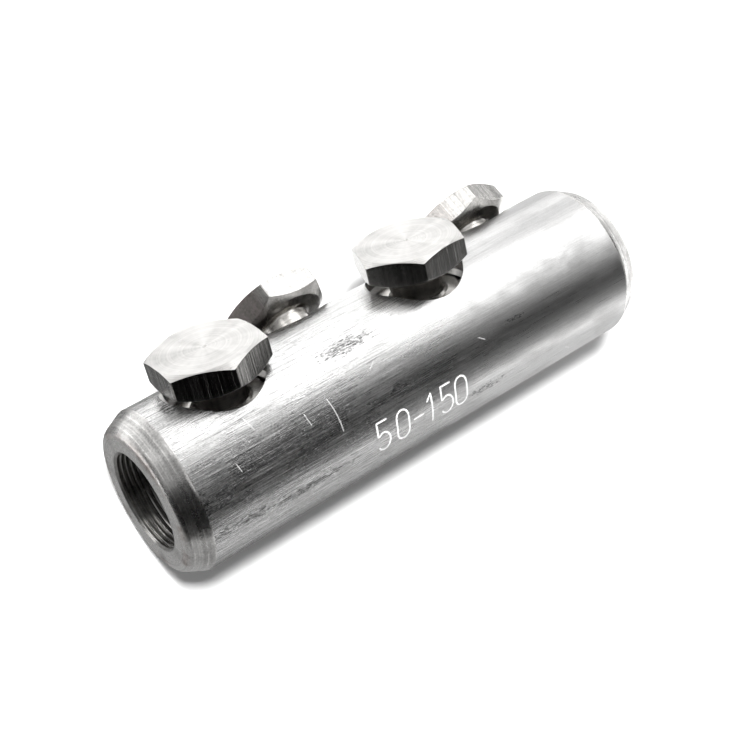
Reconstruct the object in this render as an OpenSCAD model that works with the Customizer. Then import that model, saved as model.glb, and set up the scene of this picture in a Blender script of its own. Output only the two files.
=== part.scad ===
// Shear-bolt cable connector: a turned aluminium sleeve with a blind cable
// bore in each end and four hex-head shear bolts in two staggered rows.
// It lies on its side at z = 0, on the sleeve and on a head of the rear row,
// with X along the sleeve and the origin at the bottom centre of its box.

/* [Sleeve] */
// Outer diameter of the sleeve
body_d = 28; // [27:0.5:34]
// Length of the sleeve over both end faces
body_len = 94; // [88:1:130]
// Diameter of the two cable bores
bore_d = 16.5; // [12:0.5:17.5]
// Solid web between the two bores
web = 3; // [2:0.5:8]
// Length of the end chamfers along the sleeve
end_chamfer_len = 3.7; // [2:0.1:5]
// Depth of the end chamfers into the radius
end_chamfer_depth = 1.8; // [1:0.1:3]
// Radius that softens both edges of an end chamfer
end_round = 1.5; // [0.5:0.1:2]
// Width of the small chamfer at a bore's mouth
mouth_chamfer = 0.4; // [0.2:0.1:0.8]

/* [Grip grooves in the bores] */
// Smooth entry between the mouth and the first groove
entry_len = 8.6; // [5:0.2:12]
// Distance from one groove to the next
groove_pitch = 2; // [1.5:0.1:4]
// Depth of a groove
groove_depth = 0.35; // [0.2:0.05:0.6]

/* [Bolt rows] */
// Distance between neighbouring bolts along the sleeve
bolt_pitch = 19.8; // [18.5:0.1:23]
// Angle between the two rows, seen along the sleeve
row_angle = 52; // [40:1:70]
// Height of each head's underside above the sleeve's crest
bolt_stand = [0.3, 1.5, 0.7, 0.4]; // [0.2:0.1:3]
// Turn of each bolt about its own axis
bolt_turn = [27, 11, 9, 31]; // [0:1:59]

/* [Shear bolt] */
// Outer diameter of the threaded shank
thread_d = 16; // [12:0.5:16]
// Length of the threaded shank
thread_len = 6.4; // [5:0.1:7]
// Chamfer at both ends of the shank
thread_chamfer = 1; // [0.5:0.1:1.5]
// Diameter of the shear neck
neck_d = 9; // [7:0.5:10]
// Length of the shear neck
neck_len = 5; // [4:0.1:6]
// Size of the head across its flats
hex_af = 17; // [16.5:0.5:19]
// Height of the head over its chamfers
head_h = 4.7; // [4:0.1:7]
// Diameter of the turned face on top of the head
top_face_d = 16.8; // [14:0.1:16.8]
// Diameter of the flat ring under the head
under_face_d = 15.2; // [13:0.1:16]
// Slope of the chamfer on top of the head
top_chamfer_angle = 23; // [15:1:35]
// Slope of the chamfer under the head
under_chamfer_angle = 30; // [15:1:35]
// Diameter of the lathe centre's mark on top of the head
pip_d = 1; // [0.6:0.1:2]

/* [Bolt holes] */
// Gap all round between a shank and its hole
thread_gap = 0.3; // [0.2:0.05:0.5]
// Width of the countersink round a hole, measured on the crest
countersink = 0.8; // [0.3:0.1:1]

/* [Hidden] */
$fn = 96;

body_r = body_d / 2;
bore_r = bore_d / 2;
bore_len = (body_len - web) / 2;
hole_r = thread_d / 2 + thread_gap;
bolts = len(bolt_stand);
bolt_x = [for (i = [0:bolts - 1]) body_len / 2 + (i - (bolts - 1) / 2) * bolt_pitch];
head_r = hex_af / 2 / cos(30);
top_drop = (head_r - top_face_d / 2) * tan(top_chamfer_angle);
under_rise = (head_r - under_face_d / 2) * tan(under_chamfer_angle);
pip_depth = pip_d / 4;
overlap = 1;

// Odd bolts stand in the front row, even ones in the rear row. The rear row
// points as far below the horizontal as it does when the sleeve and the
// lowest corner of a rear head lie on one level surface.
function corner_height(i) = body_r + bolt_stand[i] + head_h - top_drop;
function corner_side(i, k) = head_r * sin(bolt_turn[i] + 60 * k);
function touch_angle(h, s) = atan2(s, h) - asin(body_r / norm([h, s]));
function is_rear(i) = i % 2 == 1;
corner_touch = [for (i = [0:bolts - 1], k = [0:5]) if (is_rear(i))
    touch_angle(corner_height(i), corner_side(i, k))];
rim_touch = [for (i = [0:bolts - 1]) if (is_rear(i))
    touch_angle(corner_height(i) + top_drop, top_face_d / 2)];
rear_tilt = max(concat(corner_touch, rim_touch));
function row_tilt(i) = rear_tilt + (is_rear(i) ? 0 : row_angle);

// How far the heads reach sideways from the sleeve's axis, which places the
// middle of the whole connector over the origin
function side_reach(i, h, s) = h * cos(row_tilt(i)) + s * sin(row_tilt(i));
corner_reach = [for (i = [0:bolts - 1], k = [0:5])
    side_reach(i, corner_height(i), corner_side(i, k))];
rim_reach = [for (i = [0:bolts - 1], side = [-1, 1])
    side_reach(i, corner_height(i) + top_drop, side * top_face_d / 2)];
axis_y = (body_r - max(concat(corner_reach, rim_reach))) / 2;

// Points of an arc of radius r round [x, y], from one angle to another
function arc(x, y, r, from, to, steps = 6) =
    [for (i = [0:steps]) let (a = from + (to - from) * i / steps)
        [x + r * cos(a), y + r * sin(a)]];

// Everything is drawn with the sleeve's axis on X and the near end at x = 0,
// then set down on the surface
module set_down() {
    translate([-body_len / 2, axis_y, body_r]) children();
}

// Runs along a bolt's axis: local Z points out of the sleeve
module at_bolt(i) {
    translate([bolt_x[i], 0, 0])
        rotate([row_tilt(i) - 90, 0, 0])
            rotate([0, 0, bolt_turn[i]])
                children();
}

// Turns what is drawn along Z so that it runs along +X
module along_x() {
    rotate([0, 90, 0]) children();
}

// Half of the sleeve's outline at one end, as [radius, distance from the end].
// Each edge of the chamfer is a round tangent to both of its sides.
chamfer_angle = atan2(end_chamfer_depth, end_chamfer_len);
side_centre = [body_r - end_round,
    end_chamfer_len + end_round * tan(chamfer_angle / 2)];
face_centre = [body_r - end_chamfer_depth - end_round * tan((90 - chamfer_angle) / 2),
    end_round];
end_outline = concat(
    arc(face_centre[0], face_centre[1], end_round, -90, -chamfer_angle),
    arc(side_centre[0], side_centre[1], end_round, -chamfer_angle, 0));

module turned_bar() {
    far_outline = [for (i = [len(end_outline) - 1:-1:0])
        [end_outline[i][0], body_len - end_outline[i][1]]];
    along_x() rotate_extrude()
        polygon(concat([[0, 0]], end_outline, far_outline, [[0, body_len]]));
}

// One blind bore with its mouth at x = 0 and its grip grooves
module cable_bore() {
    groove_half = groove_depth;
    grooves = floor((bore_len - entry_len - groove_half) / groove_pitch);
    along_x() rotate_extrude() polygon(concat(
        [[0, -overlap], [bore_r + mouth_chamfer + overlap, -overlap],
            [bore_r, mouth_chamfer]],
        [for (i = [0:grooves - 1], p = [-1:1])
            [bore_r + (p == 0 ? groove_depth : 0),
                entry_len + groove_half + i * groove_pitch + p * groove_half]],
        [[bore_r, bore_len], [0, bore_len]]));
}

module bolt_hole(i) {
    at_bolt(i) {
        cylinder(r = hole_r, h = body_d);
        translate([0, 0, body_r - countersink])
            cylinder(r1 = hole_r, r2 = hole_r + countersink + overlap,
                h = countersink + overlap);
    }
}

module sleeve() {
    color("silver") set_down() difference() {
        turned_bar();
        cable_bore();
        translate([body_len, 0, 0]) mirror([1, 0, 0]) cable_bore();
        for (i = [0:bolts - 1]) bolt_hole(i);
    }
}

// The hexagon is cut by one turned outline that makes both chamfers
module hex_head() {
    reach = head_r + overlap;
    difference() {
        intersection() {
            cylinder(r = head_r, h = head_h, $fn = 6);
            rotate_extrude() polygon([[0, 0], [under_face_d / 2, 0],
                [reach, (reach - under_face_d / 2) * tan(under_chamfer_angle)],
                [reach, head_h - (reach - top_face_d / 2) * tan(top_chamfer_angle)],
                [top_face_d / 2, head_h], [0, head_h]]);
        }
        translate([0, 0, head_h - pip_depth])
            cylinder(r1 = 0, r2 = pip_d, h = 2 * pip_depth);
    }
}

module shear_bolt(i) {
    thread_r = thread_d / 2;
    shank_top = -neck_len;
    tip = shank_top - thread_len;
    color("lightgray") set_down() at_bolt(i) translate([0, 0, body_r + bolt_stand[i]]) {
        hex_head();
        translate([0, 0, shank_top - overlap / 2])
            cylinder(d = neck_d, h = neck_len + overlap);
        rotate_extrude() polygon([[0, tip], [thread_r - thread_chamfer, tip],
            [thread_r, tip + thread_chamfer], [thread_r, shank_top - thread_chamfer],
            [thread_r - thread_chamfer, shank_top], [0, shank_top]]);
    }
}

sleeve();
shear_bolt(0);  // shear_bolt_1
shear_bolt(1);  // shear_bolt_2
shear_bolt(2);  // shear_bolt_3
shear_bolt(3);  // shear_bolt_4
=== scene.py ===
# %% [markdown]
# # A shear-bolt cable connector
# Two cables go into the ends of an aluminium sleeve, and four bolts clamp them
# until each head shears off. The solids come from the packed model, which
# fixes every size and place. This script dresses them: finer edges, threads,
# lathe marks, drawn streaks and the marks of handling.

# %% Load the fixed frame
import functools
import math
import random
import bpy
import bmesh
import numpy as np
from mathutils import Matrix, Vector


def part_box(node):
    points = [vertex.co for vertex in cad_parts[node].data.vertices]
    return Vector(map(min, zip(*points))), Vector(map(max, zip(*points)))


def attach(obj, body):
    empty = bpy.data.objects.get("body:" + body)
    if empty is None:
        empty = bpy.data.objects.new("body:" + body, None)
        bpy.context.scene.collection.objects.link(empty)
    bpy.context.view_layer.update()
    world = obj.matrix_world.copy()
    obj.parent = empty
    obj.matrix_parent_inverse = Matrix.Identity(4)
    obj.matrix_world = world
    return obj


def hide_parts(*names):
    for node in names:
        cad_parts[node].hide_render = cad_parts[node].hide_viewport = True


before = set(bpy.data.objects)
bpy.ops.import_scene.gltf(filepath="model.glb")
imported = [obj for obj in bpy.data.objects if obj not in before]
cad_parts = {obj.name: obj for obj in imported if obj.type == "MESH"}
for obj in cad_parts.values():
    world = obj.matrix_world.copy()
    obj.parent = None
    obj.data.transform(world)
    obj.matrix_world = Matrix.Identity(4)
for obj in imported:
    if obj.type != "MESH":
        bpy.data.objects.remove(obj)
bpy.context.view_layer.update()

# %% [markdown]
# Everything on the connector is measured from the sleeve's axis, so that axis
# comes first. The solids give it: the sleeve's box is as wide as the sleeve.
# Lengths are written in millimetres, as on a workshop drawing, and turned into
# metres only where a mesh is made.

# %% The sleeve's axis and sizes
MM = 0.001
low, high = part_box("sleeve")
SLEEVE_LEN = (high[0] - low[0]) / MM
SLEEVE_R = (high[2] - low[2]) / MM / 2
AXIS_Y = (high[1] + low[1]) / MM / 2
AXIS_Z = (high[2] + low[2]) / MM / 2
print(f"sleeve {SLEEVE_LEN:.2f} long, radius {SLEEVE_R:.2f}, axis {AXIS_Y:.3f} {AXIS_Z:.3f}")

# %% [markdown]
# The connector is seen from its near end and well above, with the sleeve
# running up to the right. A camera could track a target, but written axes hold
# its roll as well. A long lens keeps the perspective quiet.

# %% Camera
RIGHT = Vector((0.78517, -0.52753, 0.32440))
UP = Vector((0.44101, 0.84404, 0.30512))
BACK = Vector((-0.43476, -0.09651, 0.89536))
EYE = Vector((-0.102939, -0.026553, 0.221553))
camera = bpy.data.objects.new("camera", bpy.data.cameras.new("camera"))
bpy.context.scene.collection.objects.link(camera)
camera.matrix_world = Matrix.Translation(EYE) @ Matrix((RIGHT, UP, BACK)).transposed().to_4x4()
camera.data.lens = 66.698
camera.data.sensor_width = 36
camera.data.clip_start = 0.01
bpy.context.scene.camera = camera
print("lens", camera.data.lens)

# %% [markdown]
# Shader maths reads best as sums. Wiring every Math node by hand would hide
# the sum, so this small class wraps a socket, and `1 - mask * 0.4` adds the
# nodes for it.

# %% Sockets that take arithmetic
class Socket:
    """A socket of a node tree; arithmetic on it adds Math nodes."""

    def __init__(self, nodes, socket):
        self.nodes, self.socket = nodes, socket

    def maths(self, operation, *values):
        return self.nodes.node("ShaderNodeMath", {"operation": operation},
                               dict(enumerate(values)))

    def __add__(self, other):
        return self.maths("ADD", self, other)

    def __sub__(self, other):
        return self.maths("SUBTRACT", self, other)

    def __rsub__(self, other):
        return self.maths("SUBTRACT", other, self)

    def __mul__(self, other):
        return self.maths("MULTIPLY", self, other)

    __radd__, __rmul__ = __add__, __mul__

    def __abs__(self):
        return self.maths("ABSOLUTE", self)

    def or_more(self, other):
        return self.maths("MAXIMUM", self, other)


print("operators:", [name for name in vars(Socket) if name.startswith("__r")])

# %% [markdown]
# Every other node comes from one method, which sets a node's settings before
# its sockets, because some settings change what sockets a node has. A finish
# is a material on its own shader. What is the same all over goes straight onto
# that shader, and only what varies is linked.

# %% Node trees and finishes
class Nodes:
    """A node tree under construction."""

    def __init__(self, tree):
        self.tree = tree

    def node(self, kind, settings=None, sockets=None, out=0):
        """Adds one node: its settings first, then a value or a link for each socket."""
        made = self.tree.nodes.new(kind)
        for name, value in (settings or {}).items():
            setattr(made, name, value)
        for name, value in (sockets or {}).items():
            self.join(value, made.inputs[name])
        return Socket(self, made.outputs[out]) if made.outputs else None

    def join(self, value, target):
        """Links a wrapped socket to the target, or sets the target's own value."""
        if isinstance(value, Socket):
            self.tree.links.new(value.socket, target)
        else:
            target.default_value = value


class Finish(Nodes):
    """A material under construction."""

    def __init__(self, name, **uniform):
        self.material = bpy.data.materials.new(name)
        self.material.use_nodes = True
        super().__init__(self.material.node_tree)
        self.shader = self.tree.nodes["Principled BSDF"]
        self.coat(**uniform)

    def coat(self, **sockets):
        """Feeds the shader's own sockets and gives the material."""
        for name, value in sockets.items():
            self.join(value, self.shader.inputs[name.replace("_", " ")])
        return self.material


print("finishes that came with the solids:", len(bpy.data.materials))

# %% [markdown]
# A few patterns turn up on every part of the connector. The first is a
# stretched noise, for drawn or turned lines. Object coordinates come in
# metres, so they are brought to millimetres first, and every scale below reads
# as waves per millimetre. Turned work also needs the distance from the axis.

# %% Places and noise
def place(finish):
    """Object coordinates in millimetres, as a vector and as three values."""
    spot = finish.node("ShaderNodeTexCoord", out="Object")
    spot = finish.node("ShaderNodeVectorMath", {"operation": "SCALE"},
                       {0: spot, "Scale": 1 / MM})
    parts = [finish.node("ShaderNodeSeparateXYZ", None, {0: spot}, out=i) for i in range(3)]
    return spot, parts


def combine(finish, x=0.0, y=0.0, z=0.0):
    return finish.node("ShaderNodeCombineXYZ", None, {0: x, 1: y, 2: z})


def length(finish, vector):
    return finish.node("ShaderNodeVectorMath", {"operation": "LENGTH"}, {0: vector}, out="Value")


def from_sleeve_axis(finish, parts):
    return length(finish, combine(finish, 0.0, parts[1] - AXIS_Y, parts[2] - AXIS_Z))


def noise(finish, spot, scale, detail=3.0, roughness=0.55, offset=0.0):
    """Noise from 0 to 1; scale is per axis, in waves per millimetre."""
    spot = finish.node("ShaderNodeVectorMath", {"operation": "MULTIPLY"}, {0: spot, 1: scale})
    if offset:
        spot = finish.node("ShaderNodeVectorMath", {"operation": "ADD"},
                           {0: spot, 1: (offset,) * 3})
    return finish.node("ShaderNodeTexNoise", None, {
        "Vector": spot, "Scale": 1.0, "Detail": detail, "Roughness": roughness})


print("patterns count waves per millimetre, so one unit is", MM, "m")

# %% [markdown]
# The others are a soft step that cuts a mask out of a pattern, a blend of two
# colours, a bump, and a grey that may lean to brass. Colours go through a Mix
# node, because a Math node would turn them grey.

# %% Masks, blends and bumps
def step(finish, value, start, end, low=0.0, high=1.0):
    """A soft step from low at start to high at end."""
    return finish.node("ShaderNodeMapRange", {"interpolation_type": "SMOOTHSTEP"},
                       {0: value, 1: start, 2: end, 3: low, 4: high})


def blend(finish, factor, one, other):
    return finish.node("ShaderNodeMix", {"data_type": "RGBA"},
                       {0: factor, 6: one, 7: other}, out=2)


def bump(finish, height, depth):
    """A Bump node for a height from 0 to 1 that is depth millimetres high."""
    return finish.node("ShaderNodeBump", None,
                       {"Height": height, "Distance": depth * MM, "Strength": 1.0})


def grey(level, warm=0.0):
    """A near-neutral metal colour; warm above 0 leans to brass."""
    return (level * (1 + warm), level, level * (1 - 1.6 * warm), 1)


print("a warm mid grey:", grey(0.5, 0.02))

# %% [markdown]
# Mesh work repeats itself as well. A turned part is a profile, a line of
# points along and out from an axis. On the real part no corner is quite sharp,
# so each corner may get a small arc. A Bevel modifier would round all alike;
# arcs in the profile give each edge its own radius.

# %% Profiles
NEARLY_STRAIGHT = math.radians(89.5)
ARC_REACH = 0.48
ARC_STEPS = 4


def soften(points, radii):
    """The polyline with an arc of the given radius at each inner corner."""
    points = [Vector(p) for p in points]
    out = [points[0]]
    for before, corner, after, radius in zip(points, points[1:], points[2:], radii):
        a, b = (before - corner).normalized(), (after - corner).normalized()
        half = a.angle(b) / 2
        if radius <= 0 or half > NEARLY_STRAIGHT:
            out.append(corner)
            continue
        sides = min((before - corner).length, (after - corner).length) * ARC_REACH
        reach = min(radius / math.tan(half), sides)
        radius = reach * math.tan(half)
        centre = corner + (a + b).normalized() * radius / math.sin(half)
        start, end = corner + a * reach - centre, corner + b * reach - centre
        out += [centre + start.slerp(end, k / ARC_STEPS).normalized() * radius
                for k in range(ARC_STEPS + 1)]
    return out + [points[-1]]


def subdivide(points, longest):
    """The polyline with no stretch longer than the given length."""
    out = [points[0]]
    for a, b in zip(points, points[1:]):
        cuts = max(1, math.ceil((b - a).length / longest))
        out += [a.lerp(b, k / cuts) for k in range(1, cuts + 1)]
    return out


print("a softened corner:", len(soften([(0, 0), (1, 0), (1, 1)], [0.2])), "points")

# %% [markdown]
# Sleeve, hole and bolt are all rings of points, one after another. So one
# function lays faces between rings, and another makes the rings by spinning a
# profile. A ring of one point closes an end without a hole or a stray face.

# %% Rings to meshes
TINY = 1e-6


def skin(rings):
    """Vertices and faces over rings of points; a ring of one point closes an end."""
    count = max(len(ring) for ring in rings)
    verts, faces, rows = [], [], []
    for ring in rings:
        first = len(verts)
        verts += ring
        rows.append([first] * count if len(ring) == 1 else list(range(first, first + count)))
    for a, b in zip(rows, rows[1:]):
        for k in range(count):
            ahead = (k + 1) % count
            face = tuple(dict.fromkeys((a[k], a[ahead], b[ahead], b[k])))
            if len(face) > 2:
                faces.append(face)
    return verts, faces


def spin(profile, turns):
    """A profile of (along, radius) points spun about the first axis."""
    rings = []
    for along, radius in profile:
        around = [2 * math.pi * k / turns for k in range(turns if radius > TINY else 1)]
        rings.append([(along, radius * math.cos(a), radius * math.sin(a)) for a in around])
    return skin(rings)


def new_piece(name, verts, faces, matrix=None):
    """An object of that name from millimetre vertices, placed by a matrix in metres."""
    mesh = bpy.data.meshes.new(name)
    mesh.from_pydata([Vector(v) * MM for v in verts], [], faces)
    mesh.validate()
    work = bmesh.new()
    work.from_mesh(mesh)
    bmesh.ops.recalc_face_normals(work, faces=work.faces)
    work.to_mesh(mesh)
    work.free()
    piece = bpy.data.objects.new(name, mesh)
    bpy.context.scene.collection.objects.link(piece)
    if matrix is not None:
        piece.matrix_world = matrix
    return piece


print("faces of a spun disc:", len(spin([(0, 0), (0, 1)], 12)[1]))

# %% [markdown]
# Shading decides whether machined metal looks machined. Plain smooth shading
# lets a narrow rounded edge bend the light on the flat beside it. Weighting
# each corner's normal by face area keeps a flat flat right up to its edge.

# %% Shading weighted by area
def read(items, name, size=1):
    """A property of all items as an array, with a row per item where size is above 1."""
    values = np.empty(len(items) * size)
    items.foreach_get(name, values)
    return values.reshape(-1, size) if size > 1 else values


def corners(mesh):
    """The vertex and the face of each corner of a mesh."""
    sides = read(mesh.polygons, "loop_total").astype(int)
    return read(mesh.loops, "vertex_index").astype(int), np.repeat(np.arange(len(sides)), sides)


def shade(mesh, crease):
    """Corner normals weighted by face area, split where faces meet at more than crease."""
    mesh.polygons.foreach_set("use_smooth", [True] * len(mesh.polygons))
    vert_of, face_of = corners(mesh)
    flat, area = read(mesh.polygons, "normal", 3), read(mesh.polygons, "area")
    order = np.argsort(vert_of, kind="stable")
    limit = math.cos(math.radians(crease))
    normals = flat[face_of]
    for group in np.split(order, np.flatnonzero(np.diff(vert_of[order])) + 1):
        own = flat[face_of[group]]
        near = (own @ own.T) > limit
        normals[group] = near @ (own * area[face_of[group], None])
    return normals / np.maximum(np.linalg.norm(normals, axis=1, keepdims=True), TINY ** 2)


MACHINED = 32
print("machined edges stay sharp above", MACHINED, "degrees")

# %% [markdown]
# The sleeve starts as a drawn bar that is cut to length, faced and chamfered
# on a lathe, then bored from both ends. One profile follows that work: out of
# the bore, across the end face, over the softened chamfer and along the
# barrel. The bore walls carry the ridges that bite into the cable: fine ones
# near the mouth, where they show, and wider ones deep inside.

# %% The sleeve's profile
BORE_R, BORE_LEN, BORE_CORNER = 8.25, 45.5, 0.5
CHAMFER_LEN, CHAMFER_DEEP, CHAMFER_SOFT = 3.7, 1.8, 1.4
MOUTH, MOUTH_SOFT, FACE_SOFT = 0.4, 0.1, 0.12
GROOVE_DEPTH, GROOVE_BOTTOM, GROOVE_WIDE = 0.22, 0.22, 0.42
GROOVE_FIRST, GROOVE_LAST = BORE_LEN - 1.5, 0.95
DEPTH_VARIES, PITCH_VARIES = (0.7, 1.2), (0.9, 1.1)
FINE_PITCH, WIDE_PITCH, FINE_TO = 0.85, 2.0, 15.0


def half_profile():
    """From the bottom of the near bore out over the end face to the middle of the barrel."""
    hand = random.Random(7)
    points, radii = [(BORE_LEN, 0.0), (BORE_LEN, BORE_R)], [BORE_CORNER]
    along = GROOVE_FIRST
    while along > GROOVE_LAST:
        depth = GROOVE_DEPTH * hand.uniform(*DEPTH_VARIES)
        points += [(along, BORE_R), (along - GROOVE_BOTTOM, BORE_R + depth),
                   (along - GROOVE_WIDE, BORE_R)]
        radii += [0.0] * 3
        along -= (FINE_PITCH if along < FINE_TO else WIDE_PITCH) * hand.uniform(*PITCH_VARIES)
    points += [(MOUTH, BORE_R), (0.0, BORE_R + MOUTH), (0.0, SLEEVE_R - CHAMFER_DEEP),
               (CHAMFER_LEN, SLEEVE_R), (SLEEVE_LEN / 2, SLEEVE_R)]
    return soften(points, radii + [MOUTH_SOFT, FACE_SOFT, CHAMFER_SOFT, CHAMFER_SOFT])


LONGEST = 4.0
outline = subdivide(half_profile(), LONGEST)
outline += [Vector((SLEEVE_LEN - p.x, p.y)) for p in reversed(outline[:-1])]
print("sleeve profile points:", len(outline))

# %% [markdown]
# Spun round the axis, the profile gives the whole blank at once. The mesh is
# finely divided round the axis, so that the barrel's edge stays smooth.

# %% The sleeve's blank
SLEEVE_TURNS = 216
verts, faces = spin(outline, SLEEVE_TURNS)
verts = [(x - SLEEVE_LEN / 2, y + AXIS_Y, z + AXIS_Z) for x, y, z in verts]
sleeve = new_piece("sleeve_blank", verts, faces)
print("sleeve blank faces:", len(sleeve.data.polygons))

# %% [markdown]
# The four bolts stand in two rows. Each bolt has its own small frame: its
# third axis points out along the bolt, away from the sleeve, and its origin
# lies on the sleeve's axis. The tilt is measured about the sleeve, up from the
# level that points away from the viewer. Each head stands at its own height
# and turn, as a hand left it.

# %% The bolts' places
BOLT_X = (-29.7, -9.9, 9.9, 29.7)
BOLT_TILT = (37.99, -14.01, 37.99, -14.01)
BOLT_STAND = (0.3, 1.5, 0.7, 0.4)
BOLT_TURN = (27, 11, 9, 31)


def bolt_frame(i):
    """The matrix from bolt i's own frame to the model's, in metres."""
    lay = Matrix.Rotation(math.radians(BOLT_TILT[i] - 90), 4, "X")
    return Matrix.Translation(Vector((BOLT_X[i], AXIS_Y, AXIS_Z)) * MM) @ lay


print("heads stand off the barrel by:", BOLT_STAND)

# %% [markdown]
# The bolt holes are drilled, tapped and countersunk across the barrel. The
# clean way is the maker's way: a cutter with the hole's profile, threads
# included, is taken out of the blank with an exact boolean.

# %% Cut the tapped holes
HOLE_R, COUNTERSINK, HOLE_TURNS = 8.3, 0.8, 120
HOLE_PITCH, HOLE_THREAD, THREAD_RISE = 2.0, 0.62, 0.85
THREAD_FROM, THREAD_TO = 5.0, SLEEVE_R - 3.2
HOLE_TOP = SLEEVE_R + 4
hole = [(0.0, 0.0), (0.0, HOLE_R)]
along = THREAD_FROM
while along < THREAD_TO:
    hole += [(along, HOLE_R), (along + THREAD_RISE, HOLE_R + HOLE_THREAD),
             (along + THREAD_RISE * 2, HOLE_R)]
    along += HOLE_PITCH
hole += [(SLEEVE_R - COUNTERSINK, HOLE_R),
         (HOLE_TOP, HOLE_R + HOLE_TOP - SLEEVE_R + COUNTERSINK), (HOLE_TOP, 0.0)]
verts, faces = spin(hole, HOLE_TURNS)
cutters = [new_piece("cutter", [(y, z, x) for x, y, z in verts], faces, bolt_frame(i))
           for i in range(len(BOLT_X))]
for cutter in cutters:
    cut = sleeve.modifiers.new("hole", "BOOLEAN")
    cut.operation, cut.solver, cut.object = "DIFFERENCE", "EXACT", cutter
bpy.context.view_layer.update()
view = bpy.context.evaluated_depsgraph_get()
bored = bpy.data.meshes.new_from_object(sleeve.evaluated_get(view))
for thing in [sleeve] + cutters:
    bpy.data.objects.remove(thing)
bored.name = "sleeve_body"
sleeve = bpy.data.objects.new("sleeve_body", bored)
bpy.context.scene.collection.objects.link(sleeve)
print("sleeve faces after cutting:", len(bored.polygons))

# %% [markdown]
# One piece of metal, four kinds of cut: the drawn barrel, the turned ends, the
# ridged bores and the tapped holes. Painting them by hand would be lost with
# the next change of size, so each face is sorted by where it lies.

# %% Sort the sleeve's faces
BARREL, END, BORE, HOLE = range(4)
EDGE_BLEND, SLACK, RIDGE_SLACK = 0.45, 0.05, 0.08
STRAIGHT_OUT, SIDEWAYS = 0.99, 0.5
BARREL_HALF = SLEEVE_LEN / 2 - CHAMFER_LEN - EDGE_BLEND
middle = read(bored.polygons, "center", 3) / MM
spoke = middle[:, 1:] - (AXIS_Y, AXIS_Z)
from_axis = np.linalg.norm(spoke, axis=1)
facing = read(bored.polygons, "normal", 3)[:, 1:]
outward = (facing * spoke).sum(1) / np.maximum(from_axis, TINY)
beyond = np.abs(middle[:, 0]) > BARREL_HALF
barrel = (from_axis > SLEEVE_R - SLACK) & (outward > STRAIGHT_OUT)
ends = beyond & (from_axis > BORE_R + MOUTH - SLACK) & ~barrel
bore = (from_axis < BORE_R + GROOVE_DEPTH + RIDGE_SLACK) & (outward < SIDEWAYS) & ~ends
kind = np.where(barrel, BARREL, np.where(ends, END, np.where(bore, BORE, HOLE)))
kind[beyond & barrel] = END
bored.polygons.foreach_set("material_index", kind.astype(np.int32))
print("faces by kind:", np.bincount(kind))

# %% [markdown]
# The boolean leaves long thin triangles on the barrel, and their own normals
# would show as streaks. A turned barrel is a true cylinder, so its normals are
# taken straight from the axis instead.

# %% Shade the sleeve
normals = shade(bored, MACHINED)
vert_of, face_of = corners(bored)
spokes = read(bored.vertices, "co", 3)[vert_of] / MM - (0, AXIS_Y, AXIS_Z)
spokes[:, 0] = 0
true_round = (barrel & ~beyond)[face_of]
spokes = spokes[true_round]
normals[true_round] = spokes / np.linalg.norm(spokes, axis=1, keepdims=True)
bored.normals_split_custom_set(normals)
print("corners on the true cylinder:", int(true_round.sum()))

# %% [markdown]
# A shear bolt is turned from hexagon bar: a low head, a thin neck that snaps
# at the right torque, and a threaded shank that presses on the cable. Every
# ring of the head has a point at the same angles, crowded at the six corners,
# which the real bar has slightly eased.

# %% The head's outline
HEX_AF, HEAD_H = 17.0, 4.7
CORNER_EASE = 0.07
SIDE, HALF_SIDE = math.radians(60), math.radians(30)
angles = [math.radians(60 * side + offset) for side in range(6) for offset in
          (*np.linspace(-28.0, 28.0, 15), 28.8, 29.2, 29.6, 30.0, 30.4, 30.8, 31.2)]


def hex_radius(angle):
    """Distance to the hexagon's outline, with its corners eased by a small radius."""
    local = (angle + HALF_SIDE) % SIDE - HALF_SIDE
    corner_r = HEX_AF / 2 / math.cos(HALF_SIDE)
    return min(HEX_AF / 2 / math.cos(local), corner_r - CORNER_EASE)


print("points round the head:", len(angles))

# %% [markdown]
# The head is built ring by ring from its flat face outwards. Where a ring
# passes the turned face, the cone of the chamfer lowers it, and this alone
# draws the curved edges between the chamfer and the six flats. A boolean with
# a cone would do the same, but rings leave even faces that shade well.

# %% The head's rings
TOP_R, TOP_INSET, TOP_EASE = 8.4, 0.14, 0.01
UNDER_INSET, UNDER_INNER_R = 0.2, 7.2
TOP_SLOPE, UNDER_SLOPE = math.tan(math.radians(23)), math.tan(math.radians(30))
PIP = ((0.0, 0.28), (0.2, 0.24), (0.42, 0.06), (0.52, 0.0))
FACE_RINGS, FLAT_RINGS = (0.7, 2.5, 5.0, 7.0, 7.9), (0.25, 0.5, 0.75)
EDGE = ((0.12, 0.0), (0.035, 0.035), (0.0, 0.12))


def head_rings(shift, towards, under_r):
    """Rings of (radius, height) per angle, from the pip on top to the flat under the head.

    The chamfer on top was turned off centre, by shift towards an angle, and the one
    below starts at under_r."""
    def top(a):
        past = hex_radius(a) - TOP_R + shift * math.cos(a - towards)
        return HEAD_H - max(0.0, past) * TOP_SLOPE

    def under(a):
        return max(0.0, hex_radius(a) - under_r) * UNDER_SLOPE

    rings = [[(r, HEAD_H - drop)] * len(angles) for r, drop in PIP]
    rings += [[(r, HEAD_H)] * len(angles) for r in FACE_RINGS]
    rings.append([(min(TOP_R - shift * math.cos(a - towards), hex_radius(a) - TOP_INSET),
                   HEAD_H - TOP_EASE) for a in angles])
    rings += [[(hex_radius(a) - inset, top(a) - drop) for a in angles] for inset, drop in EDGE]
    rings += [[(hex_radius(a), top(a) * (1 - share) + under(a) * share) for a in angles]
              for share in FLAT_RINGS]
    rings += [[(hex_radius(a) - inset, under(a) + rise) for a in angles]
              for inset, rise in reversed(EDGE)]
    rings.append([(min(under_r, hex_radius(a) - UNDER_INSET), 0.0) for a in angles])
    return rings + [[(UNDER_INNER_R, 0.0)] * len(angles)]


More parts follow.
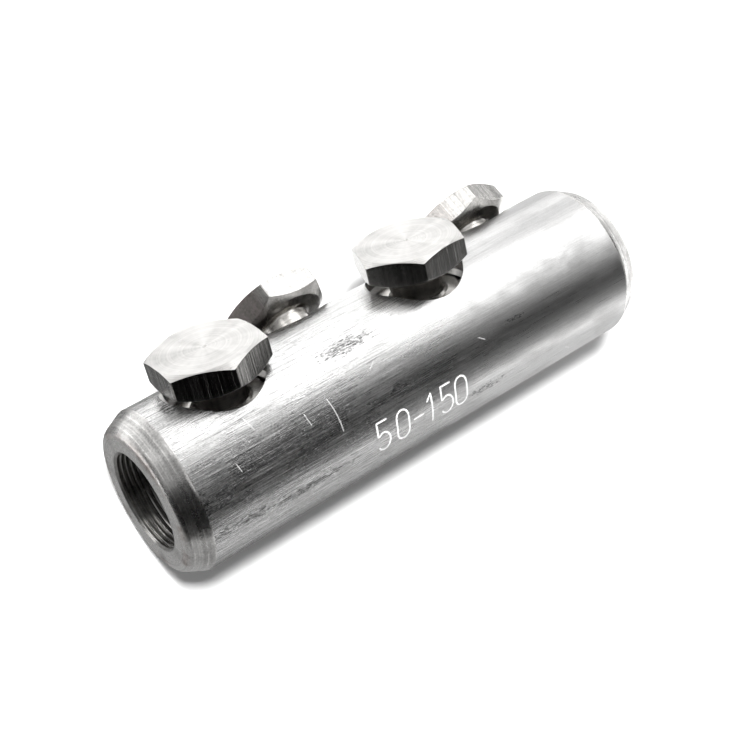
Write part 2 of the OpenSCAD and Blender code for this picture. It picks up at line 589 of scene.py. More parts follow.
print("rings of a head:", len(head_rings(0.0, 0.0, 8.0)))

# %% [markdown]
# The neck is plain turned rings with a groove where it snaps. The thread is a
# true helix: each point's depth comes from its height and its angle together,
# so the crest climbs by one pitch in a turn. The Screw modifier makes such a
# thread too, but would leave it apart from the neck.

# %% The shank's rings
NECK_R, NECK_LEN = 4.5, 5.0
THREAD_R, THREAD_LEN, THREAD_PITCH, THREAD_DEEP = 8.0, 6.4, 2.0, 0.85
THREAD_ROWS, THREAD_FLANK, THREAD_ROOT = 62, 3.2, 1.25
LEAD_IN, LEAD_SLOPE, LEAD_DEEP = 0.42, 1.72, 1.0
TIP_RINGS = (6.2, 3.0, 0.0)
NECK = ((5.4, 0.0), (5.0, -0.08), (4.66, -0.34), (NECK_R, -0.8), (NECK_R, -2.2), (4.42, -2.5),
        (NECK_R, -2.8), (NECK_R, -4.3), (4.66, -4.7), (5.1, -NECK_LEN))


def thread_radius(k, z, a):
    """The thread's radius in row k, at height z and angle a, tapered at both ends."""
    lead = min(1.0, LEAD_IN + min(k, THREAD_ROWS - k) / THREAD_ROWS * THREAD_LEN)
    wave = (z / THREAD_PITCH + a / (2 * math.pi)) % 1.0
    depth = THREAD_DEEP * max(0.0, min(1.0, THREAD_ROOT - abs(wave - 0.5) * THREAD_FLANK))
    return min(THREAD_R - depth, THREAD_R - LEAD_DEEP + (lead - LEAD_IN) * LEAD_SLOPE)


def shank_rings():
    """Rings down the neck, over the thread and across the pressing tip."""
    rings = [[ring] * len(angles) for ring in NECK]
    for k in range(THREAD_ROWS + 1):
        z = -NECK_LEN - THREAD_LEN * k / THREAD_ROWS
        rings.append([(thread_radius(k, z, a), z) for a in angles])
    return rings + [[(r, -NECK_LEN - THREAD_LEN)] * len(angles) for r in TIP_RINGS]


print("rings of a shank:", len(shank_rings()))

# %% [markdown]
# Head and shank are one piece of metal, so they become one mesh. The four
# bolts differ a little, as turned parts do: bolt 1 has its chamfer cut clearly
# off centre. The faces are sorted into turned face, flats and shank.

# %% Make the bolts
OFF_CENTRE = ((0.42, math.radians(312), 8.4), (0.1, 2.0, 7.6), (0.08, 4.0, 7.9),
              (0.12, 1.0, 7.6))
FACE, FLAT, SHANK = range(3)


def bolt_mesh(i):
    """Vertices and faces of bolt i in its own frame, turned to its angle."""
    seat, turn = SLEEVE_R + BOLT_STAND[i], math.radians(BOLT_TURN[i] - 30)
    rings = []
    for ring in head_rings(*OFF_CENTRE[i]) + shank_rings():
        if ring[0][0] < TINY:
            rings.append([(0.0, 0.0, seat + ring[0][1])])
        else:
            rings.append([(r * math.cos(a + turn), r * math.sin(a + turn), seat + z)
                          for a, (r, z) in zip(angles, ring)])
    return skin(rings)


bolts = []
for i in range(len(BOLT_X)):
    bolt = new_piece(f"shear_bolt_{i + 1}_body", *bolt_mesh(i), bolt_frame(i))
    height = read(bolt.data.polygons, "center", 3)[:, 2] / MM - SLEEVE_R - BOLT_STAND[i]
    upward = read(bolt.data.polygons, "normal", 3)[:, 2] > 0.5
    kind = np.where(height > 0, np.where(upward, FACE, FLAT), SHANK)
    bolt.data.polygons.foreach_set("material_index", kind.astype(np.int32))
    bolt.data.normals_split_custom_set(shade(bolt.data, MACHINED))
    bolts.append(bolt)
print("faces per bolt:", len(bolts[0].data.polygons))

# %% [markdown]
# The sleeve carries the range of cable sizes it takes, cut by a fine stylus
# in single strokes. A text object would bring a font with outlines, while the
# real figures are lines of one width. So each figure is a few lines, drawn in
# a box one unit wide and high.

# %% Strokes of the figures
def arc(cx, cy, rx, ry, start, end, steps=10):
    turns = [math.radians(start + (end - start) * k / steps) for k in range(steps + 1)]
    return [(cx + rx * math.cos(t), cy + ry * math.sin(t)) for t in turns]


FIGURES = {
    "0": [arc(0.5, 0.74, 0.5, 0.26, 0, 180) + arc(0.5, 0.26, 0.5, 0.26, 180, 360)
          + [(1.0, 0.74)]],
    "1": [[(0.1, 0.78), (0.62, 1.0), (0.62, 0.0)]],
    "5": [[(0.92, 1.0), (0.1, 1.0), (0.06, 0.56)] + arc(0.5, 0.32, 0.5, 0.32, 130, -150)],
    "-": [[(0.0, 0.47), (1.0, 0.47)]],
}
MARK = "50-150"
MARK_X = (-12.2, -8.2, -4.9, -2.2, 0.8, 3.9)
MARK_WIDE = {"0": 2.4, "1": 1.9, "5": 2.5, "-": 2.1}
MARK_TALL, MARK_LOW, STROKE = 5.7, 150.4, 0.33
print("figures:", MARK)

# %% [markdown]
# A stroke becomes a thin raised ribbon that follows the barrel, a hundredth of
# a millimetre proud, so that it never flickers against the surface below. Its
# ends narrow, as a stylus leaves them.

# %% Cut the marking
RIBBON_STEP, END_NARROW, SAME_POINT, RIBBON_CREASE = 0.3, 0.55, 1e-3, 60
RIBBON = ((1.0, -0.05), (1.0, 0.006), (0.6, 0.014), (-0.6, 0.014), (-1.0, 0.006), (-1.0, -0.05))


def wrap(x, y, lift):
    """A point of the marking on the barrel, y going up towards the crest."""
    angle, radius = math.radians(MARK_LOW) - y / SLEEVE_R, SLEEVE_R + lift
    return (x, AXIS_Y + radius * math.cos(angle), AXIS_Z + radius * math.sin(angle))


def ribbon(points, verts, faces):
    """Adds a closed thin ribbon of stroke width along the points."""
    points = [Vector(p) for k, p in enumerate(points)
              if k == 0 or (Vector(p) - Vector(points[k - 1])).length > SAME_POINT]
    fine = subdivide(points, RIBBON_STEP)
    first, last, edge = len(verts), len(fine) - 1, len(RIBBON)
    for k, p in enumerate(fine):
        ahead = (fine[min(k + 1, last)] - fine[max(k - 1, 0)]).normalized()
        side = Vector((-ahead.y, ahead.x)) * STROKE / 2 * (END_NARROW if k in (0, last) else 1.0)
        verts.extend(wrap(p.x + side.x * s, p.y + side.y * s, lift) for s, lift in RIBBON)
    for k in range(last):
        a, b = first + edge * k, first + edge * (k + 1)
        faces.extend((a + j, a + (j + 1) % edge, b + (j + 1) % edge, b + j)
                     for j in range(edge))
    faces.extend(tuple(first + edge * k + j for j in range(edge)) for k in (0, last))


verts, faces = [], []
for figure, x in zip(MARK, MARK_X):
    for stroke in FIGURES[figure]:
        ribbon([(x + px * MARK_WIDE[figure], py * MARK_TALL) for px, py in stroke],
               verts, faces)
marking = new_piece("size_marking", verts, faces)
marking.data.normals_split_custom_set(shade(marking.data, RIBBON_CREASE))
print("marking faces:", len(marking.data.polygons))

# %% [markdown]
# The barrel is drawn aluminium: fine lines run its whole length, cut across by
# the small nicks of a parts bin. On a cylinder the natural map is the unrolled
# sheet, so the marks are placed in millimetres along the sleeve and
# millimetres round it, counted from the crest. No UV map is needed for that.

# %% Places on the unrolled barrel
def unrolled(finish, parts):
    """Millimetres round the barrel from its crest, growing towards the viewer's side."""
    angle = finish.node("ShaderNodeMath", {"operation": "ARCTAN2"},
                        {0: AXIS_Y - parts[1], 1: parts[2] - AXIS_Z})
    return angle * SLEEVE_R


def smear(finish, along, round_, at, size, ragged, broken):
    """A soft-edged spot of that size; a higher broken makes it patchier."""
    u = (along - at[0]) * (1 / size[0])
    v = (round_ - at[1]) * (1 / size[1])
    return step(finish, u * u + v * v + (ragged - 0.5) * broken, 1.3, -0.5)


def scratch(finish, along, round_, start, end, width, bow=0.0):
    """A fine scratch from start to end, with a slight bow."""
    reach = (Vector(end) - Vector(start)).length
    ux, uy = (end[0] - start[0]) / reach, (end[1] - start[1]) / reach
    x, y = along - start[0], round_ - start[1]
    ahead = x * ux + y * uy
    aside = y * ux - x * uy + ahead * (ahead - reach) * bow
    ends = step(finish, abs(ahead - reach / 2), reach / 2, reach / 2 - 0.25)
    return step(finish, abs(aside), width, width * 0.4) * ends


print(f"the unrolled barrel is {2 * math.pi * SLEEVE_R:.1f} mm round")

# %% [markdown]
# The lines are a noise stretched a hundredfold along the sleeve. One noise
# looks like a print, so several lie over each other: fine lines, hairs, grain,
# short dark dashes, pale glints and broad dull clouds. The near half has been
# handled more, and its lines are stronger.

# %% Patterns of the drawn barrel
drawn = Finish("drawn_aluminium", Metallic=1.0)
spot, parts = place(drawn)
along, round_ = parts[0], unrolled(drawn, parts)
fine = noise(drawn, spot, (0.08, 8.0, 8.0), 3.0, 0.7)
hair = noise(drawn, spot, (0.3, 11.0, 11.0), 2.0, 0.65, 15.0)
grain = noise(drawn, spot, (4.0, 6.0, 6.0), 2.0, 0.6, 33.0)
broad = noise(drawn, spot, (0.03, 0.9, 0.9), 3.0, 0.6, 40.0)
dash = noise(drawn, spot, (0.55, 5.6, 5.6), 3.0, 0.65, 80.0)
pale = noise(drawn, spot, (0.16, 6.4, 6.4), 3.0, 0.65, 95.0)
blotch = noise(drawn, spot, (0.10, 0.17, 0.17), 4.0, 0.62, 120.0)
pitted = noise(drawn, spot, (1.3, 3.4, 3.4), 4.0, 0.75, 160.0)
near_half = step(drawn, along, 30.0, -32.0, 0.22, 1.0)
nicks = step(drawn, dash, 0.60, 0.70) * near_half
glints = step(drawn, pale, 0.62, 0.72) * near_half
dull = step(drawn, blotch, 0.46, 0.68)
print("nodes for the drawn lines:", len(drawn.tree.nodes))

# %% [markdown]
# Stains and scratches belong at their own places, so each is written as a
# place and a size on the unrolled barrel. A stain keeps where the pitted noise
# lets it, a long trail breaks up more than a round smear, and the strongest
# mark wins where two meet.

# %% Marks of handling
SMEARS = (((-10.6, -4.6), (5.2, 1.4)), ((-39.4, -10.6), (1.2, 1.8)), ((-42.8, 6.6), (1.1, 2.2)))
TRAILS = (((-37.0, 12.4), (7.0, 0.8)), ((-25.5, 13.0), (7.0, 0.7)), ((10.5, 14.2), (3.5, 0.7)),
          ((18.5, 5.0), (1.6, 0.4)))
SMEAR_BROKEN, TRAIL_BROKEN, TRAIL_STRENGTH = 7.0, 15.0, 0.75
LONG_SCRATCH = ((-18.1, 1.2), (-17.7, 7.4), 0.13, -0.02)
SCRATCHES = (((-22.6, 1.6), (-22.2, 4.0)), ((-31.3, -2.4), (-30.6, 0.4)),
             ((-35.8, 3.2), (-35.4, 4.9)), ((-23.0, -1.0), (-20.6, -0.6)),
             ((-9.2, 0.7), (-7.8, -0.2)), ((10.7, 4.7), (12.0, 5.7)),
             ((3.4, -1.6), (4.6, -2.3)), ((28.8, 16.2), (30.2, 17.3)))
FINE_SCRATCH = 0.11
stains = [smear(drawn, along, round_, at, size, pitted, SMEAR_BROKEN) for at, size in SMEARS]
stains += [smear(drawn, along, round_, at, size, pitted, TRAIL_BROKEN) * TRAIL_STRENGTH
           for at, size in TRAILS]
scratches = [scratch(drawn, along, round_, *LONG_SCRATCH)]
scratches += [scratch(drawn, along, round_, *ends, FINE_SCRATCH) for ends in SCRATCHES]
stains = functools.reduce(Socket.or_more, stains)
scratches = functools.reduce(Socket.or_more, scratches)
print("nodes with the marks:", len(drawn.tree.nodes))

# %% [markdown]
# Now the patterns meet in one shader. Tone makes the colour, and the same
# lines feed roughness and bump, because a real line is darker, duller and
# lower at once. A few specks and scratches are less metallic: there the light
# scatters, and they stay pale against a dark reflection.

# %% Coat the barrel
ALUMINIUM = 0.60
texture = ((fine - 0.5) * 2.0 + (hair - 0.5) * 1.8 + (grain - 0.5) * 1.2) * near_half
tone = 0.90 + texture + (broad - 0.5) * 0.20 - nicks * 0.36 + glints * 0.22 - dull * 0.10
tone = (tone - stains * 0.72) * (1 - scratches) + scratches * 1.15
rough = 0.31 - near_half * 0.06 + dull * 0.10 + (fine - 0.5) * 0.15 + stains * 0.12
height = (fine + hair * 0.7 + grain * 0.45) * near_half + broad * 0.1
height = height - nicks * 0.5 + glints * 0.3 - scratches * 0.9
specks = step(drawn, grain, 0.55, 0.66) * near_half
lines = step(drawn, fine, 0.60, 0.67) * near_half
aluminium_barrel = drawn.coat(
    Base_Color=blend(drawn, tone * 0.5, grey(0.0), grey(ALUMINIUM * 2, 0.004)),
    Roughness=rough, Metallic=1 - specks * 0.14 - lines * 0.12 - scratches * 0.45,
    Normal=bump(drawn, height, 0.018))
print("nodes in drawn aluminium:", len(drawn.tree.nodes))

# %% [markdown]
# The ends were faced on a lathe, so their lines run round the axis. The
# distance from the axis plus the distance along it is the same all round a
# cone or a face, so a noise of that one number draws rings on both. Handling
# has left smudges and fine grit. A warm band round the edge of the end face is
# also painted darker, as painted shade that dims the bright line its rounded edge reflects.

# %% Patterns of the turned ends
turned = Finish("turned_aluminium_end", Metallic=1.0)
spot, parts = place(turned)
radius = from_sleeve_axis(turned, parts)
waver = noise(turned, spot, (0.12, 0.12, 0.12), 1.0, 0.5, 12.0)
rings = combine(turned, radius + abs(parts[0]) + waver * 0.25)
ring_fine = noise(turned, rings, (4.5, 1.0, 1.0), 3.0, 0.65)
ring_broad = noise(turned, rings, (1.1, 1.0, 1.0), 2.0, 0.5, 30.0)
smudge = noise(turned, spot, (0.3, 0.22, 0.22), 4.0, 0.6, 60.0)
grit = noise(turned, spot, (3.4, 3.4, 3.4), 3.0, 0.65, 90.0)
broken = noise(turned, spot, (0.5, 0.5, 0.5), 2.0, 0.5, 75.0)
soil = step(turned, smudge, 0.46, 0.66)
on_chamfer = step(turned, radius, 12.2, 12.9)
# Painted highlight: bright arcs on the chamfer's rings, painted into the colour as glints of
# light.
painted_ring_glints = step(turned, ring_fine, 0.54, 0.66) * step(turned, broken, 0.42, 0.56) * on_chamfer
# Partly painted shade: this band at the edge of the end face is warmer, and painted darker to dim
# a reflected bright line.
inner_edge = step(turned, radius, 10.4, 11.4) * step(turned, radius, 12.6, 11.6)
edge_tint_and_shade = inner_edge * step(turned, smudge, 0.40, 0.60)
# Painted light: the far end's colour is raised a shade, standing in for brighter light there.
far_end_painted_light = step(turned, parts[0], 30.0, 42.0)
print("nodes for the turned lines:", len(turned.tree.nodes))

# %% [markdown]
# Lathe rings vary the bump, and only a little the roughness. Short bright arcs on
# the chamfer are a painted highlight, glints of light painted into the colour.
# The far end is painted a shade lighter, as painted light.

# %% Coat the ends
tone = 0.88 + far_end_painted_light * 0.17 + painted_ring_glints * 0.7 - edge_tint_and_shade * 0.22
tone = tone + (ring_fine - 0.5) * (0.3 + broken * 1.6) + (ring_broad - 0.5) * 0.4
tone = tone - soil * 0.22 + (grit - 0.5) * 1.0
clean = grey(ALUMINIUM * 2, 0.012)
warm_edge = (ALUMINIUM * 2, ALUMINIUM * 1.80, ALUMINIUM * 1.72, 1.0)
aluminium_end = turned.coat(
    Base_Color=blend(turned, tone * 0.5, grey(0.0), blend(turned, edge_tint_and_shade, clean, warm_edge)),
    Roughness=0.24 + soil * 0.12 + ring_broad * 0.06,
    Normal=bump(turned, ring_fine + ring_broad * 0.3 + grit * 0.3, 0.026))
print("nodes in turned aluminium:", len(turned.tree.nodes))

# %% [markdown]
# Inside the bores the drill and the ridging tool leave an oily skin, and the
# bore is painted darker, as painted shade inside the tube. The tapped holes are
# the same metal, cut sharper. One loop makes both, since only the level and the
# fineness differ. Low in the near mouth a painted highlight brightens the ridges.

# %% Bore and thread walls
# The point round which a glint of light is painted into the bore's colour.
PAINTED_GLINT_AT = (-45.8, -7.6, 6.7)
walls = []
# The bore's level of 0.34 is painted shade inside the tube; the tapped hole keeps 0.50.
for name, level, fineness in (("ridged_bore", 0.34, 4.0), ("tapped_hole", 0.50, 6.0)):
    wall = Finish(name, Metallic=1.0)
    spot, parts = place(wall)
    rings = combine(wall, from_sleeve_axis(wall, parts) + abs(parts[0]))
    cut = noise(wall, rings, (fineness, 1.0, 1.0), 3.0, 0.6)
    oil = noise(wall, spot, (0.5, 0.5, 0.5), 3.0, 0.6, 20.0)
    away = wall.node("ShaderNodeVectorMath", {"operation": "DISTANCE"},
                     {0: spot, 1: PAINTED_GLINT_AT}, out="Value")
    tone = 0.6 + cut * 0.5 - step(wall, oil, 0.4, 0.7) * 0.35
    # Painted highlight: low in the near mouth the ridges are painted bright, standing in for a
    # glint of light.
    tone = tone + step(wall, away, 3.2, 1.4) * step(wall, cut, 0.40, 0.55) * 2.2
    walls.append(wall.coat(
        Base_Color=blend(wall, tone * 0.5, grey(0.0), grey(level * 2, 0.02)),
        Roughness=0.24 + oil * 0.16, Normal=bump(wall, cut, 0.01)))
print("wall finishes:", [wall.name for wall in walls])

# %% [markdown]
# The bolts are turned brass under a skin of tin, which reads as a slightly
# warm grey. The top was faced last, so fine circles run round its pip. Circles
# alone look dead, so a noise of the direction from the centre paints a fan of
# light and dark into the colour: a painted sheen, standing in for the way a faced disc reflects
# light.

# %% Turned face of a bolt
TIN = 0.57
faced = Finish("tinned_turned_face", Metallic=1.0)
spot, parts = place(faced)
across = combine(faced, parts[0], parts[1])
circles = combine(faced, length(faced, across))
circle_fine = noise(faced, circles, (3.2, 1.0, 1.0), 3.0, 0.65)
circle_broad = noise(faced, circles, (0.8, 1.0, 1.0), 2.0, 0.5, 30.0)
handled = noise(faced, spot, (0.35, 0.35, 0.35), 4.0, 0.62, 50.0)
outwards = faced.node("ShaderNodeVectorMath", {"operation": "NORMALIZE"}, {0: across})
# Painted sheen: light and dark sectors round the pip, painted into the colour.
painted_sheen_fan = noise(faced, outwards, (1.3, 1.3, 1.3), 2.0, 0.5, 70.0)
tone = 0.86 + (circle_fine - 0.5) * 0.60 + (circle_broad - 0.5) * 0.2 + (painted_sheen_fan - 0.5) * 0.7
tone = tone - step(faced, handled, 0.45, 0.70) * 0.12
bolt_top = faced.coat(
    Base_Color=blend(faced, tone * 0.5, grey(0.0), grey(TIN * 2, 0.015)),
    Roughness=0.24 + handled * 0.1,
    Normal=bump(faced, circle_fine + circle_broad * 0.4, 0.03))
print("nodes in the turned face:", len(faced.tree.nodes))

# %% [markdown]
# The six flats keep the lines of the drawn bar they were cut from, along the
# bolt. One recipe takes each bolt's level of grey, where in the noise it starts,
# how strong its lines are, and how dark and brown its left side is painted. The
# levels are shaded and lit copies of one tin: the front row is painted dark and
# the rear row pale, as painted shade and light.

# %% Drawn flats of a bolt
def drawn_flats(name, level, offset, lines, side_shade):
    """The finish of one bolt's six flats."""
    flats = Finish(name, Metallic=1.0)
    spot, parts = place(flats)
    line = noise(flats, spot, (3.4, 3.4, 0.04), 4.0, 0.75, offset)
    wide = noise(flats, spot, (0.6, 0.6, 0.04), 2.0, 0.5, offset + 25.0)
    fleck = noise(flats, spot, (2.2, 2.2, 1.8), 3.0, 0.7, offset + 70.0)
    bright = step(flats, line, 0.60, 0.68)
    # Painted shade: the flats' left side is painted darker and browner.
    side_shade_mask = step(flats, parts[0], -3.4, -5.0, 0.0, side_shade)
    tone = 0.80 + ((line - 0.5) * 2.4 + bright * 0.9) * lines + (wide - 0.5) * 0.5
    tone = tone + (fleck - 0.5) * 0.9 - step(flats, fleck, 0.62, 0.70) * 0.3
    tone = tone * (1 - side_shade_mask * 0.5)
    shaded_brown = (level * 2.5, level * 2.3, level * 2.2, 1.0)
    metal = blend(flats, side_shade_mask, grey(level * 2.5, 0.02), shaded_brown)
    return flats.coat(
        Base_Color=blend(flats, tone * 0.4, grey(0.0), metal),
        Roughness=0.17 + wide * 0.1 + side_shade_mask * 0.1,
        Normal=bump(flats, line + bright * 0.3, 0.02))


# Painted light and shade: the front bars' low levels and the rear bars' high levels are shaded
# and lit copies of one tin.
BARS_WITH_PAINTED_LIGHT = (("tinned_flats_front", 0.27, 0.0, 1.8, 0.0),
        ("tinned_flats_rear_near", 0.60, 10.0, 0.2, 1.0),
        ("tinned_flats_front_far", 0.34, 4.0, 0.4, 0.0),
        ("tinned_flats_rear_far", 0.66, 20.0, 0.5, 0.35))
flats_of = [drawn_flats(*bar) for bar in BARS_WITH_PAINTED_LIGHT]
print("flats:", [flats.name for flats in flats_of])

# %% [markdown]
# Neck and thread are turned in one go, under the same tin. They sit in the
# shade of the head, so their tin is painted a brighter level, as painted light,
# and faint rings are enough, with a few stains where oil has dried.

# %% Neck and thread of a bolt
# Painted light: the shank's tin is painted brighter than the head's.
SHANK_TIN_PAINTED_LIGHT = 0.74
shank = Finish("tinned_turned_shank", Metallic=1.0)
spot, parts = place(shank)
ring = noise(shank, spot, (0.2, 0.2, 4.0), 3.0, 0.6)
stain = noise(shank, spot, (0.5, 0.5, 0.5), 3.0, 0.6, 35.0)
tone = 0.75 + (ring - 0.5) * 0.5 - step(shank, stain, 0.5, 0.7) * 0.25
bolt_shank = shank.coat(
    Base_Color=blend(shank, tone * 0.5, grey(0.0), grey(SHANK_TIN_PAINTED_LIGHT * 2, 0.03)),
    Roughness=0.2 + stain * 0.1, Normal=bump(shank, ring, 0.01))
print("nodes in the shank:", len(shank.tree.nodes))

# %% [markdown]
# A stylus leaves a bright, slightly ragged line that scatters light. As metal
# it would turn dark wherever the barrel does, so it is a matt pale surface.

# %% Cut figures
cut_line = Finish("stylus_cut", Metallic=0.0, Specular_IOR_Level=0.4)
spot, parts = place(cut_line)
ragged = noise(cut_line, spot, (3.0, 3.0, 3.0), 3.0, 0.6)
pale = step(cut_line, ragged, 0.35, 0.65)
figure_metal = cut_line.coat(
    Base_Color=blend(cut_line, pale, grey(0.78), grey(0.94)),
    Roughness=0.5 + ragged * 0.2, Normal=bump(cut_line, ragged, 0.03))
print("nodes in the cut figures:", len(cut_line.tree.nodes))

# %% [markdown]
# The faces were sorted by kind when the meshes were made, so each finish only
# has to take the slot of its kind, in the same order.

# %% Put the finishes on
for finish in (aluminium_barrel, aluminium_end, *walls):
    sleeve.data.materials.append(finish)
for bolt, flats in zip(bolts, flats_of):
    for finish in (bolt_top, flats, bolt_shank):
        bolt.data.materials.append(finish)
marking.data.materials.append(figure_metal)
print("finishes on the sleeve:", len(sleeve.data.materials))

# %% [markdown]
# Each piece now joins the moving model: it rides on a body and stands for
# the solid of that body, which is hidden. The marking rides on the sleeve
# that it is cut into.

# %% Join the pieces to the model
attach(sleeve, "sleeve")
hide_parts("sleeve")
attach(marking, "sleeve")
for i, bolt in enumerate(bolts):
    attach(bolt, f"bolt_{i + 1}")
    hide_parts(f"shear_bolt_{i + 1}")
print("pieces joined:", 2 + len(bolts))

# %% [markdown]
# The connector lies on white paper. Lamps strong enough to wash the paper out
# would wash out the metal too, so the paper lifts itself where it is only
# looked at: a little near the connector, which keeps its shadow, and more
# further off, where a low view would see it grey.

# %% White floor
FLOOR_HALF, LIFT_FROM = 2, (-0.06, 0, 0)
LIFT_START, LIFT_END, LIFT_NEAR, LIFT_FAR = 0.085, 0.38, 0.03, 0.90


def only_seen(nodes):
    """1 for the camera, for reflections and through glass; 0 where it would give light."""
    camera_ray, glossy, glass = (
        nodes.node("ShaderNodeLightPath", out=f"Is {kind} Ray")
        for kind in ("Camera", "Glossy", "Transmission"))
    return camera_ray.or_more(glossy).or_more(glass)


def studio_piece(name, points, faces, material):
    """A mesh for the surroundings, from points in metres."""
    mesh = bpy.data.meshes.new(name)
    mesh.from_pydata(points, [], faces)
    mesh.materials.append(material)
    thing = bpy.data.objects.new(name, mesh)
    bpy.context.scene.collection.objects.link(thing)
    return thing


paper = Finish("white_paper", Base_Color=(0.86, 0.86, 0.86, 1), Roughness=0.9,
               Specular_IOR_Level=0.0, Emission_Strength=1.0)
spot = paper.node("ShaderNodeNewGeometry", out="Position")
reach = paper.node("ShaderNodeVectorMath", {"operation": "DISTANCE"},
                   {0: spot, 1: LIFT_FROM}, out="Value")
lift = paper.node("ShaderNodeMapRange", None,
                  {0: reach, 1: LIFT_START, 2: LIFT_END, 3: LIFT_NEAR, 4: LIFT_FAR})
white_paper = paper.coat(Emission_Color=only_seen(paper) * lift)
floor = studio_piece("floor", [(x * FLOOR_HALF, y * FLOOR_HALF, 0) for x, y in
                               ((-1, -1), (1, -1), (1, 1), (-1, 1))], [(0, 1, 2, 3)], white_paper)
print("the floor lifts itself by", LIFT_NEAR, "to", LIFT_FAR)

# %% [markdown]
# Bare metal shows the room more than itself. The room here is a light tent,
# white wherever it is seen, but it gives less light than that, so that the
# connector's shadow stays dark.

# %% White surroundings
WORLD_LIGHT, WORLD_SEEN = 0.22, 1.0
world = bpy.data.worlds.new("light_tent")
bpy.context.scene.world = world
world.use_nodes = True
tent = Nodes(world.node_tree)
tent.tree.nodes.clear()
strength = tent.node("ShaderNodeMapRange", None,
                     {0: only_seen(tent), 3: WORLD_LIGHT, 4: WORLD_SEEN})
tent_light = tent.node("ShaderNodeBackground", None,
                       {"Color": (1, 1, 1, 1), "Strength": strength})
tent.node("ShaderNodeOutputWorld", None, {"Surface": tent_light})
bpy.context.scene.view_settings.view_transform = "Standard"
print("world strength", WORLD_LIGHT, "for light and", WORLD_SEEN, "where it is seen")

# %% [markdown]
# One broad lamp high on the far side makes the long highlight, and four small
# ones light the heads and the far end. Only reflections see these five, for
# the metal needs no other light. One more lamp, overhead, lights the paper
# and casts the shadow, and reflections don't see that one.

# %% Lamps
CENTRE = Vector((0.0, AXIS_Y, AXIS_Z)) * MM
LAMP_FAR = 0.8
# azimuth and elevation in degrees, width and height in metres, watts
LAMPS = {
    "key_softbox": (46, 43, 0.60, 0.48, 1.9),
    "side_softbox": (66, 12, 0.20, 0.26, 0.28),
    "rear_softbox": (122, 48, 0.22, 0.22, 0.24),
    "slit_lamp": (-86, 20, 0.035, 0.34, 0.09),
    "far_top_softbox": (4, 55, 0.20, 0.14, 0.20),
    "overhead_softbox": (148, 76, 0.16, 0.16, 11.8),
}


def direction(azimuth, elevation):
    """A unit vector, azimuth from +X towards +Y, in degrees."""
    az, el = math.radians(azimuth), math.radians(elevation)
    return Vector((math.cos(el) * math.cos(az), math.cos(el) * math.sin(az), math.sin(el)))


for name, (azimuth, elevation, wide, tall, power) in LAMPS.items():
    data = bpy.data.lights.new(name, "AREA")
    data.shape, data.size, data.size_y, data.energy = "RECTANGLE", wide, tall, power
    lamp = bpy.data.objects.new(name, data)
    bpy.context.scene.collection.objects.link(lamp)
    towards = direction(azimuth, elevation)
    lamp.location = CENTRE + towards * LAMP_FAR
    lamp.rotation_euler = towards.to_track_quat("Z", "Y").to_euler()
    lamp.visible_diffuse = name == "overhead_softbox"
    lamp.visible_glossy = name != "overhead_softbox"
print("lamps:", list(LAMPS))

# %% [markdown]
# In a tent of plain white, metal looks like plaster. Dark cards give it its
# dark bands, an old trick for shiny goods. Each card is a patch of a sphere
# round the connector, given by two azimuths and two elevations, and glows a
# plain grey that only reflections see.

# %% Dark cards
CARD_FAR = 0.6
CARD_COLS, CARD_ROWS = 16, 8
CARDS = (("dark_card_front", (-80, -30), (22, 57), 0.03),
         ("dark_card_high", (-75, -8), (57, 85), 0.05),
         ("dark_card_top", (-8, 8), (62, 80), 0.05),
         ("dark_card_side", (-172, -80), (-1, 62), 0.012),
         ("grey_card_middle", (-80, -30), (10, 22), 0.20),
         ("grey_card_right", (-24, 12), (10, 40), 0.16),
         ("grey_card_low", (-80, -14), (-1, 10), 0.34),
         ("grey_card_end", (140, 188), (22, 75), 0.45),
         ("grey_card_end_low", (138, 188), (-1, 22), 0.16),
         ("light_card_far", (-4, 26), (-12, 4), 0.75))


def studio_card(name, points, quads, level):
    """A card that only reflections see; level is its grey."""
    cloth = Finish(name)
    glow = cloth.node("ShaderNodeEmission", None, {"Color": grey(level)})
    cloth.join(glow, cloth.tree.nodes["Material Output"].inputs["Surface"])
    thing = studio_piece(name, points, quads, cloth.material)
    thing.visible_camera = thing.visible_diffuse = False
    thing.visible_shadow = thing.visible_transmission = False


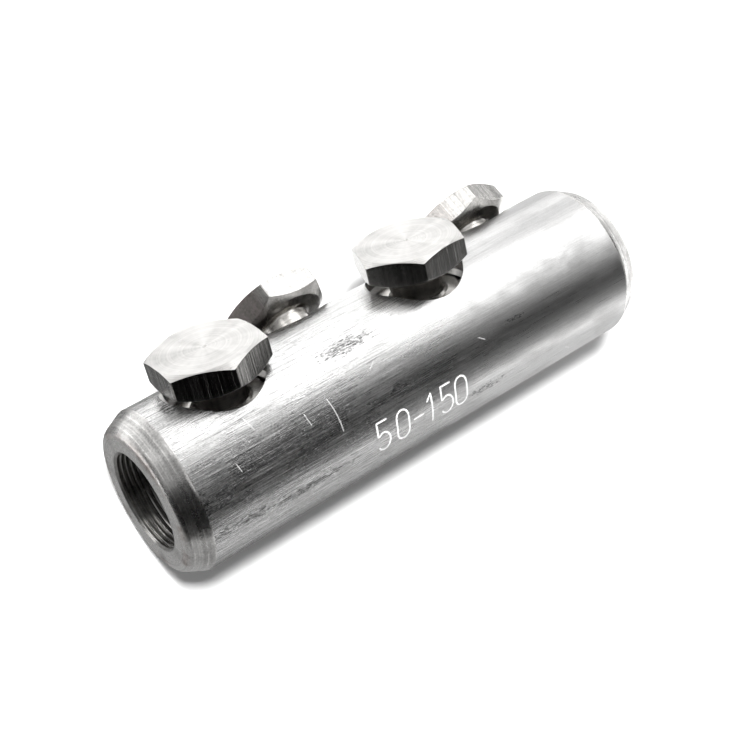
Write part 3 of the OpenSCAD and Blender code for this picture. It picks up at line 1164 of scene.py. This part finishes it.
for name, (az0, az1), (el0, el1), level in CARDS:
    points = [CENTRE + CARD_FAR * direction(az0 + (az1 - az0) * i / CARD_COLS,
                                            el0 + (el1 - el0) * j / CARD_ROWS)
              for j in range(CARD_ROWS + 1) for i in range(CARD_COLS + 1)]
    row = CARD_COLS + 1
    quads = [(j * row + i, j * row + i + 1, (j + 1) * row + i + 1, (j + 1) * row + i)
             for j in range(CARD_ROWS) for i in range(CARD_COLS)]
    studio_card(name, points, quads, level)
print("cards:", len(CARDS))

# %% [markdown]
# The lower half of the barrel mirrors the paper under it, and white paper
# would leave it without any shade. A sheet of grey tiles lies there for
# reflections: dark beside the barrel, lighter outwards, and lighter still
# towards the far end. Five single tiles mend the view into the ends and from
# behind.

# %% Grey sheet on the floor
SHEET_Y = (-160, -60, -34, -26, -20, -14, -5)
SHEET_X = (-125, -75, -50, -40, -20, 0, 12, 24, 36, 48, 70)
NEAR_GREY = (0.50, 0.72, 0.54, 0.22, 0.10, 0.08)
FAR_GREY = (1.0, 1.0, 0.96, 0.82, 0.70, 0.68)
BEFORE_END, END_GREY = -40, 0.48
FAR_FROM, FAR_OVER = 5, 40
SHEET_LIFT, TILE_LIFT = 0.4, 0.3
TILES = (("end", -125, -36, -5, 12, END_GREY), ("behind", -60, -24, 12, 36, 0.30),
         ("far_end", 85, 150, 25, 62, 0.45), ("near_side", -700, -125, -700, -5, 0.04),
         ("behind_far", 50, 85, 12, 62, 0.92))


def tile(name, x0, x1, y0, y1, lift, level):
    points = [(x * MM, y * MM, lift * MM) for x, y in ((x0, y0), (x1, y0), (x1, y1), (x0, y1))]
    studio_card(name, points, [(0, 1, 2, 3)], level)


for x0, x1 in zip(SHEET_X, SHEET_X[1:]):
    far = max(0.0, min(1.0, ((x0 + x1) / 2 - FAR_FROM) / FAR_OVER))
    for y0, y1, near_grey, far_grey in zip(SHEET_Y, SHEET_Y[1:], NEAR_GREY, FAR_GREY):
        level = END_GREY if x1 <= BEFORE_END else near_grey + (far_grey - near_grey) * far
        tile(f"grey_tile_{x0}_{y0}", x0, x1, y0, y1, SHEET_LIFT, level)
for name, x0, x1, y0, y1, level in TILES:
    tile(f"tile_{name}", x0, x1, y0, y1, TILE_LIFT, level)
print("tiles:", (len(SHEET_X) - 1) * (len(SHEET_Y) - 1) + len(TILES))

# %% [markdown]
